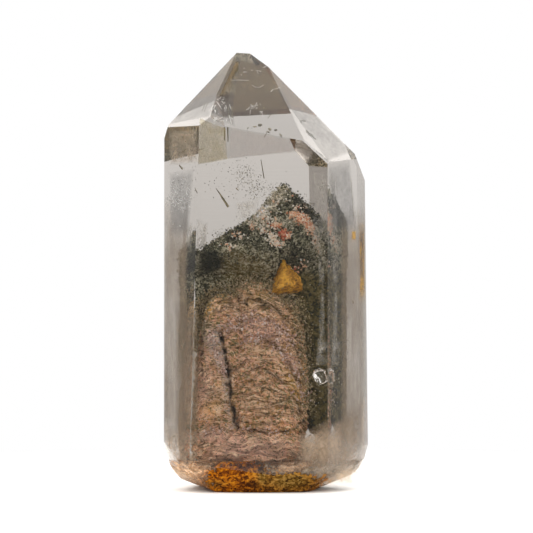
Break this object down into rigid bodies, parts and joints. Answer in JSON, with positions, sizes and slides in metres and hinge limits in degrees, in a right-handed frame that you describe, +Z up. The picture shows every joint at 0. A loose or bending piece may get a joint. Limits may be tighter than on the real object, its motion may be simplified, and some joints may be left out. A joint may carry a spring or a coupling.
{
  "type": "chlorite quartz crystal",
  "caption": "Clear six-sided quartz point on its broken base, with a green chlorite phantom, a layered pink-brown mound and an ochre crystal grown inside.",
  "frame": {"origin": "middle of the crystal's outline on the surface it stands on", "axes": "+Z up through the point, front prism face looking along -Y, +X to the right"},
  "size_m": [0.0348, 0.0262, 0.075],
  "materials": {
    "clear_quartz": "clear natural crystal, polished faces",
    "chlorite": "dull green grains",
    "layered_clay": "dull fine pink-brown layers",
    "ochre": "rough ochre-orange crystal",
    "limonite": "rusty iron stain"
  },
  "bodies": {
    "root": {"quartz_point": "clear_quartz", "chlorite_phantom": "chlorite", "layered_mound": "layered_clay", "ochre_crystal": "ochre", "rust_crust": "limonite"}
  },
  "joints": []
}
